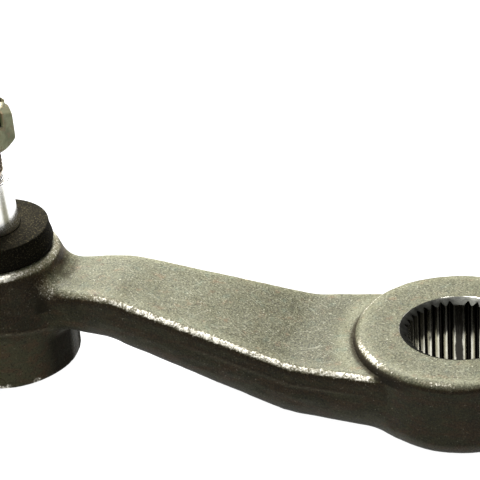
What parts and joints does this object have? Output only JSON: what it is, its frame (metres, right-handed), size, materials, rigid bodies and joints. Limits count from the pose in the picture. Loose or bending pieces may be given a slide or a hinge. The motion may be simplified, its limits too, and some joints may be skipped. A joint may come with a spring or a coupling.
{
  "type": "pitman arm",
  "caption": "Forged steering pitman arm: S-bent arm from a serrated splined boss to a socket with a sealed, greasable, tapered ball stud and slotted nut.",
  "frame": {"origin": "on the serrated bore's axis, in the lower face of the boss", "axes": "+Z along the serrated bore, towards the stud's end; the arm runs from the bore along -X to the ball stud"},
  "size_m": [0.1923, 0.0606, 0.0916],
  "materials": {
    "forged_steel": "as forged and shot blasted, oiled",
    "bearing_steel": "ground",
    "ground_steel": "ground bright",
    "plated_steel": "zinc and olive chromate",
    "seal_rubber": "matte, dusty",
    "spring_steel": "oil tempered",
    "pressed_steel": "pressed and phosphated",
    "fitting_steel": "zinc plated"
  },
  "bodies": {
    "arm": {"arm_forging": "forged_steel", "pressure_seat": "bearing_steel", "preload_spring": "spring_steel", "cover_plate": "pressed_steel", "grease_fitting": "fitting_steel", "fitting_ball": "bearing_steel", "fitting_spring": "spring_steel"},
    "race": {"upper_race": "bearing_steel", "dust_seal": "seal_rubber"},
    "half_ball": {"half_ball": "bearing_steel"},
    "stud": {"ball_stud": "ground_steel", "castle_nut": "plated_steel"}
  },
  "joints": [
    {"name": "lean_direction", "type": "hinge", "parent": "arm", "child": "race", "pos_m": [-0.1397, 0, 0.0284], "axis": [0, 0, 1], "continuous": true},
    {"name": "stud_lean", "type": "hinge", "parent": "race", "child": "half_ball", "pos_m": [-0.1397, 0, 0.0284], "axis": [0, 1, 0], "range_deg": [-20, 20], "deforming": ["dust_seal"]},
    {"name": "stud_spin", "type": "hinge", "parent": "half_ball", "child": "stud", "pos_m": [-0.1397, 0, 0.0284], "axis": [0, 0, 1], "continuous": true}
  ]
}
